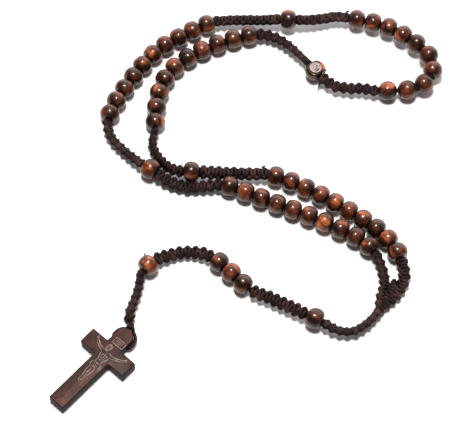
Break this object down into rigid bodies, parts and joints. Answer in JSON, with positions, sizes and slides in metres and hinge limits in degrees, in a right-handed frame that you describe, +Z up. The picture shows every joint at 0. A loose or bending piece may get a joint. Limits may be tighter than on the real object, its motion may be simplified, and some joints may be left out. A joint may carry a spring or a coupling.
{
  "type": "corded rosary",
  "caption": "Closed loop of turned wooden beads on knotted dark cord, with a medal bead, and a short beaded pendant cord that ends in a flat wooden cross.",
  "frame": {"origin": "under the middle of the laid-out rosary, at the height of the surface it lies on", "axes": "+Z up from the surface, +Y along the longer side of the layout, from the cross towards the far end of the loop"},
  "size_m": [0.165, 0.1892, 0.0104],
  "materials": {
    "bead_wood": "glossy dark red-brown varnish, near black round the bores",
    "cross_wood": "satin dark red-brown varnish",
    "cord_fibre": "dark knotted synthetic cord, slightly sheeny",
    "medal_metal": "pale pinkish silver, brushed"
  },
  "bodies": {
    "loop": {"loop_cord": "cord_fibre", "decade_2_beads": "bead_wood"},
    "pendant_link_1": {"pendant_cord_1": "cord_fibre"},
    "pendant_link_2": {"pendant_cord_2": "cord_fibre"},
    "pendant_link_3": {"pendant_cord_3": "cord_fibre"},
    "pendant_link_4": {"pendant_cord_4": "cord_fibre"},
    "pendant_link_5": {"pendant_cord_5": "cord_fibre"},
    "cross_loop": {"cross_cord_loop": "cord_fibre"},
    "cross": {"cross": "cross_wood"},
    "hail_mary_1_01": {"hail_mary_1_01": "bead_wood"},
    "hail_mary_1_02": {"hail_mary_1_02": "bead_wood"},
    "hail_mary_1_03": {"hail_mary_1_03": "bead_wood"},
    "hail_mary_1_04": {"hail_mary_1_04": "bead_wood"},
    "hail_mary_1_05": {"hail_mary_1_05": "bead_wood"},
    "hail_mary_1_06": {"hail_mary_1_06": "bead_wood"},
    "hail_mary_1_07": {"hail_mary_1_07": "bead_wood"},
    "hail_mary_1_08": {"hail_mary_1_08": "bead_wood"},
    "hail_mary_1_09": {"hail_mary_1_09": "bead_wood"},
    "hail_mary_1_10": {"hail_mary_1_10": "bead_wood"},
    "hail_mary_3_01": {"hail_mary_3_01": "bead_wood"},
    "hail_mary_3_02": {"hail_mary_3_02": "bead_wood"},
    "hail_mary_3_03": {"hail_mary_3_03": "bead_wood"},
    "hail_mary_3_04": {"hail_mary_3_04": "bead_wood"},
    "hail_mary_3_05": {"hail_mary_3_05": "bead_wood"},
    "hail_mary_3_06": {"hail_mary_3_06": "bead_wood"},
    "hail_mary_3_07": {"hail_mary_3_07": "bead_wood"},
    "hail_mary_3_08": {"hail_mary_3_08": "bead_wood"},
    "hail_mary_3_09": {"hail_mary_3_09": "bead_wood"},
    "hail_mary_3_10": {"hail_mary_3_10": "bead_wood"},
    "hail_mary_4_01": {"hail_mary_4_01": "bead_wood"},
    "hail_mary_4_02": {"hail_mary_4_02": "bead_wood"},
    "hail_mary_4_03": {"hail_mary_4_03": "bead_wood"},
    "hail_mary_4_04": {"hail_mary_4_04": "bead_wood"},
    "hail_mary_4_05": {"hail_mary_4_05": "bead_wood"},
    "hail_mary_4_06": {"hail_mary_4_06": "bead_wood"},
    "hail_mary_4_07": {"hail_mary_4_07": "bead_wood"},
    "hail_mary_4_08": {"hail_mary_4_08": "bead_wood"},
    "hail_mary_4_09": {"hail_mary_4_09": "bead_wood"},
    "hail_mary_4_10": {"hail_mary_4_10": "bead_wood"},
    "hail_mary_5_01": {"hail_mary_5_01": "bead_wood"},
    "hail_mary_5_02": {"hail_mary_5_02": "bead_wood"},
    "hail_mary_5_03": {"hail_mary_5_03": "bead_wood"},
    "hail_mary_5_04": {"hail_mary_5_04": "bead_wood"},
    "hail_mary_5_05": {"hail_mary_5_05": "bead_wood"},
    "hail_mary_5_06": {"hail_mary_5_06": "bead_wood"},
    "hail_mary_5_07": {"hail_mary_5_07": "bead_wood"},
    "hail_mary_5_08": {"hail_mary_5_08": "bead_wood"},
    "hail_mary_5_09": {"hail_mary_5_09": "bead_wood"},
    "hail_mary_5_10": {"hail_mary_5_10": "bead_wood"},
    "medal_bead": {"medal_bead": "bead_wood", "medal_disc": "medal_metal"},
    "our_father_1": {"our_father_1": "bead_wood"},
    "our_father_2": {"our_father_2": "bead_wood"},
    "our_father_3": {"our_father_3": "bead_wood"},
    "pendant_hail_mary_01": {"pendant_hail_mary_01": "bead_wood"},
    "pendant_hail_mary_02": {"pendant_hail_mary_02": "bead_wood"},
    "pendant_hail_mary_03": {"pendant_hail_mary_03": "bead_wood"},
    "pendant_our_father_1": {"pendant_our_father_1": "bead_wood"},
    "pendant_our_father_2": {"pendant_our_father_2": "bead_wood"}
  },
  "joints": [
    {"name": "cross_tilt", "type": "hinge", "parent": "cross_loop", "child": "cross", "pos_m": [-0.0546, -0.06485, 0.0024], "axis": [-0.7373, 0.6756, 0], "range_deg": [0, 100]},
    {"name": "cross_lift", "type": "hinge", "parent": "pendant_link_5", "child": "cross_loop", "pos_m": [-0.0511, -0.0558, 0.0026], "axis": [-0.7373, 0.6756, 0], "range_deg": [0, 75]},
    {"name": "pendant_1_swing", "type": "hinge", "parent": "loop", "child": "pendant_link_1", "pos_m": [0.0502, -0.0522, 0.0031], "axis": [0, 0, 1], "range_deg": [-5, 45]},
    {"name": "pendant_2_lift", "type": "hinge", "parent": "pendant_link_1", "child": "pendant_link_2", "pos_m": [0.0214, -0.0534, 0.00435], "axis": [0.4777, 0.8785, 0], "range_deg": [0, 60]},
    {"name": "pendant_3_swing", "type": "hinge", "parent": "pendant_link_2", "child": "pendant_link_3", "pos_m": [-0.0021, -0.0417, 0.0042], "axis": [0, 0, 1], "range_deg": [-25, 30]},
    {"name": "pendant_4_lift", "type": "hinge", "parent": "pendant_link_3", "child": "pendant_link_4", "pos_m": [-0.017, -0.027, 0.0042], "axis": [0.45, 0.8931, 0], "range_deg": [0, 45]},
    {"name": "pendant_5_swing", "type": "hinge", "parent": "pendant_link_4", "child": "pendant_link_5", "pos_m": [-0.0465, -0.0333, 0.00435], "axis": [0, 0, 1], "range_deg": [-22, 22]},
    {"name": "spin_hail_mary_1_01", "type": "hinge", "parent": "loop", "child": "hail_mary_1_01", "pos_m": [0.04809, -0.02195, 0.00429], "axis": [-0.7018, 0.7119, 0.0263], "continuous": true},
    {"name": "spin_hail_mary_1_02", "type": "hinge", "parent": "loop", "child": "hail_mary_1_02", "pos_m": [0.0425, -0.0175, 0.00429], "axis": [-0.8495, 0.5269, -0.026], "continuous": true},
    {"name": "spin_hail_mary_1_03", "type": "hinge", "parent": "loop", "child": "hail_mary_1_03", "pos_m": [0.03626, -0.01385, 0.0042], "axis": [-0.8771, 0.4803, 0], "continuous": true},
    {"name": "spin_hail_mary_1_04", "type": "hinge", "parent": "loop", "child": "hail_mary_1_04", "pos_m": [0.02981, -0.01058, 0.0042], "axis": [-0.9047, 0.4259, 0], "continuous": true},
    {"name": "spin_hail_mary_1_05", "type": "hinge", "parent": "loop", "child": "hail_mary_1_05", "pos_m": [0.02323, -0.00756, 0.0042], "axis": [-0.913, 0.408, 0], "continuous": true},
    {"name": "spin_hail_mary_1_06", "type": "hinge", "parent": "loop", "child": "hail_mary_1_06", "pos_m": [0.0166, -0.00467, 0.0042], "axis": [-0.9208, 0.3899, 0], "continuous": true},
    {"name": "spin_hail_mary_1_07", "type": "hinge", "parent": "loop", "child": "hail_mary_1_07", "pos_m": [0.00992, -0.00188, 0.0042], "axis": [-0.9247, 0.3806, 0], "continuous": true},
    {"name": "spin_hail_mary_1_08", "type": "hinge", "parent": "loop", "child": "hail_mary_1_08", "pos_m": [0.00322, 0.00085, 0.0042], "axis": [-0.9276, 0.3737, 0.0001], "continuous": true},
    {"name": "spin_hail_mary_1_09", "type": "hinge", "parent": "loop", "child": "hail_mary_1_09", "pos_m": [-0.00339, 0.00378, 0.00429], "axis": [-0.8986, 0.4382, 0.0242], "continuous": true},
    {"name": "spin_hail_mary_1_10", "type": "hinge", "parent": "loop", "child": "hail_mary_1_10", "pos_m": [-0.01007, 0.00643, 0.00429], "axis": [-0.9547, 0.2965, -0.0245], "continuous": true},
    {"name": "spin_hail_mary_3_01", "type": "hinge", "parent": "loop", "child": "hail_mary_3_01", "pos_m": [0.04622, 0.09039, 0.00505], "axis": [0.9814, -0.1917, 0.0125], "continuous": true},
    {"name": "spin_hail_mary_3_02", "type": "hinge", "parent": "loop", "child": "hail_mary_3_02", "pos_m": [0.05337, 0.08863, 0.00515], "axis": [0.9582, -0.2857, 0.0157], "continuous": true},
    {"name": "spin_hail_mary_3_03", "type": "hinge", "parent": "loop", "child": "hail_mary_3_03", "pos_m": [0.0602, 0.08596, 0.00531], "axis": [0.8968, -0.4415, 0.0279], "continuous": true},
    {"name": "spin_hail_mary_3_04", "type": "hinge", "parent": "loop", "child": "hail_mary_3_04", "pos_m": [0.06631, 0.08194, 0.00551], "axis": [0.7609, -0.6483, 0.0268], "continuous": true},
    {"name": "spin_hail_mary_3_05", "type": "hinge", "parent": "loop", "child": "hail_mary_3_05", "pos_m": [0.07201, 0.07727, 0.00571], "axis": [0.7858, -0.6179, 0.0257], "continuous": true},
    {"name": "spin_hail_mary_3_06", "type": "hinge", "parent": "loop", "child": "hail_mary_3_06", "pos_m": [0.07701, 0.07136, 0.00579], "axis": [0.501, -0.8654, -0.0017], "continuous": true},
    {"name": "spin_hail_mary_3_07", "type": "hinge", "parent": "loop", "child": "hail_mary_3_07", "pos_m": [0.07844, 0.06359, 0.0056], "axis": [-0.1627, -0.9857, -0.0442], "continuous": true},
    {"name": "spin_hail_mary_3_08", "type": "hinge", "parent": "loop", "child": "hail_mary_3_08", "pos_m": [0.07445, 0.05691, 0.00519], "axis": [-0.7903, -0.6104, -0.0528], "continuous": true},
    {"name": "spin_hail_mary_3_09", "type": "hinge", "parent": "loop", "child": "hail_mary_3_09", "pos_m": [0.06693, 0.05406, 0.00476], "axis": [-0.9964, -0.0689, -0.0496], "continuous": true},
    {"name": "spin_hail_mary_3_10", "type": "hinge", "parent": "loop", "child": "hail_mary_3_10", "pos_m": [0.05846, 0.05378, 0.00438], "axis": [-0.9991, 0.0038, -0.0416], "continuous": true},
    {"name": "spin_hail_mary_4_01", "type": "hinge", "parent": "loop", "child": "hail_mary_4_01", "pos_m": [-0.00144, 0.08239, 0.00422], "axis": [-0.9861, -0.1659, 0.0054], "continuous": true},
    {"name": "spin_hail_mary_4_02", "type": "hinge", "parent": "loop", "child": "hail_mary_4_02", "pos_m": [-0.00857, 0.08047, 0.00422], "axis": [-0.9366, -0.3504, -0.0053], "continuous": true},
    {"name": "spin_hail_mary_4_03", "type": "hinge", "parent": "loop", "child": "hail_mary_4_03", "pos_m": [-0.01549, 0.0778, 0.0042], "axis": [-0.9289, -0.3704, -0.0001], "continuous": true},
    {"name": "spin_hail_mary_4_04", "type": "hinge", "parent": "loop", "child": "hail_mary_4_04", "pos_m": [-0.02222, 0.07468, 0.0042], "axis": [-0.8828, -0.4698, 0], "continuous": true},
    {"name": "spin_hail_mary_4_05", "type": "hinge", "parent": "loop", "child": "hail_mary_4_05", "pos_m": [-0.0285, 0.07075, 0.0042], "axis": [-0.8095, -0.5871, 0], "continuous": true},
    {"name": "spin_hail_mary_4_06", "type": "hinge", "parent": "loop", "child": "hail_mary_4_06", "pos_m": [-0.03406, 0.0659, 0.0042], "axis": [-0.691, -0.7229, 0], "continuous": true},
    {"name": "spin_hail_mary_4_07", "type": "hinge", "parent": "loop", "child": "hail_mary_4_07", "pos_m": [-0.03821, 0.05988, 0.0042], "axis": [-0.4304, -0.9027, 0], "continuous": true},
    {"name": "spin_hail_mary_4_08", "type": "hinge", "parent": "loop", "child": "hail_mary_4_08", "pos_m": [-0.04062, 0.05293, 0.0042], "axis": [-0.2209, -0.9753, 0], "continuous": true},
    {"name": "spin_hail_mary_4_09", "type": "hinge", "parent": "loop", "child": "hail_mary_4_09", "pos_m": [-0.04172, 0.04561, 0.00427], "axis": [-0.0744, -0.9971, 0.0179], "continuous": true},
    {"name": "spin_hail_mary_4_10", "type": "hinge", "parent": "loop", "child": "hail_mary_4_10", "pos_m": [-0.0421, 0.03821, 0.00427], "axis": [-0.0277, -0.9995, -0.0179], "continuous": true},
    {"name": "spin_hail_mary_5_01", "type": "hinge", "parent": "loop", "child": "hail_mary_5_01", "pos_m": [0.00953, 0.01146, 0.0043], "axis": [0.9543, -0.2988, -0.0013], "continuous": true},
    {"name": "spin_hail_mary_5_02", "type": "hinge", "parent": "loop", "child": "hail_mary_5_02", "pos_m": [0.01598, 0.00886, 0.00425], "axis": [0.8951, -0.4457, -0.0116], "continuous": true},
    {"name": "spin_hail_mary_5_03", "type": "hinge", "parent": "loop", "child": "hail_mary_5_03", "pos_m": [0.02221, 0.0057, 0.00421], "axis": [0.8882, -0.4595, -0.0015], "continuous": true},
    {"name": "spin_hail_mary_5_04", "type": "hinge", "parent": "loop", "child": "hail_mary_5_04", "pos_m": [0.02833, 0.00233, 0.0042], "axis": [0.8638, -0.5038, 0], "continuous": true},
    {"name": "spin_hail_mary_5_05", "type": "hinge", "parent": "loop", "child": "hail_mary_5_05", "pos_m": [0.03429, -0.00132, 0.0042], "axis": [0.8414, -0.5403, 0], "continuous": true},
    {"name": "spin_hail_mary_5_06", "type": "hinge", "parent": "loop", "child": "hail_mary_5_06", "pos_m": [0.0401, -0.00522, 0.0042], "axis": [0.8186, -0.5744, 0], "continuous": true},
    {"name": "spin_hail_mary_5_07", "type": "hinge", "parent": "loop", "child": "hail_mary_5_07", "pos_m": [0.04582, -0.00923, 0.0042], "axis": [0.8185, -0.5745, 0], "continuous": true},
    {"name": "spin_hail_mary_5_08", "type": "hinge", "parent": "loop", "child": "hail_mary_5_08", "pos_m": [0.0513, -0.01354, 0.0042], "axis": [0.7505, -0.6609, 0.0003], "continuous": true},
    {"name": "spin_hail_mary_5_09", "type": "hinge", "parent": "loop", "child": "hail_mary_5_09", "pos_m": [0.05603, -0.01862, 0.00431], "axis": [0.6065, -0.7945, 0.0308], "continuous": true},
    {"name": "spin_hail_mary_5_10", "type": "hinge", "parent": "loop", "child": "hail_mary_5_10", "pos_m": [0.05962, -0.02455, 0.00431], "axis": [0.4238, -0.9052, -0.0312], "continuous": true},
    {"name": "spin_medal_bead", "type": "hinge", "parent": "loop", "child": "medal_bead", "pos_m": [0.0274, 0.06395, 0.00465], "axis": [-0.6183, 0.7858, -0.0129], "continuous": true},
    {"name": "spin_our_father_1", "type": "hinge", "parent": "loop", "child": "our_father_1", "pos_m": [-0.04385, 0.0148, 0.00435], "axis": [-0.8147, 0.5799, 0], "continuous": true},
    {"name": "spin_our_father_2", "type": "hinge", "parent": "loop", "child": "our_father_2", "pos_m": [0.0159, 0.0897, 0.00605], "axis": [0.9942, -0.0828, 0.069], "continuous": true},
    {"name": "spin_our_father_3", "type": "hinge", "parent": "loop", "child": "our_father_3", "pos_m": [-0.0263, 0.01355, 0.00435], "axis": [0.9991, -0.0416, 0], "continuous": true},
    {"name": "spin_pendant_hail_mary_01", "type": "hinge", "parent": "pendant_link_3", "child": "pendant_hail_mary_01", "pos_m": [-0.00458, -0.03925, 0.0042], "axis": [-0.7105, 0.7037, 0.0007], "continuous": true},
    {"name": "spin_pendant_hail_mary_02", "type": "hinge", "parent": "pendant_link_3", "child": "pendant_hail_mary_02", "pos_m": [-0.00943, -0.03422, 0.00424], "axis": [-0.6786, 0.7344, 0.01], "continuous": true},
    {"name": "spin_pendant_hail_mary_03", "type": "hinge", "parent": "pendant_link_3", "child": "pendant_hail_mary_03", "pos_m": [-0.0144, -0.02933, 0.00424], "axis": [-0.745, 0.667, -0.0108], "continuous": true},
    {"name": "spin_pendant_our_father_1", "type": "hinge", "parent": "pendant_link_1", "child": "pendant_our_father_1", "pos_m": [0.0247, -0.05505, 0.00435], "axis": [-0.8944, 0.4472, 0], "continuous": true},
    {"name": "spin_pendant_our_father_2", "type": "hinge", "parent": "pendant_link_4", "child": "pendant_our_father_2", "pos_m": [-0.04385, -0.03085, 0.00435], "axis": [-0.7343, -0.6789, 0], "continuous": true}
  ]
}
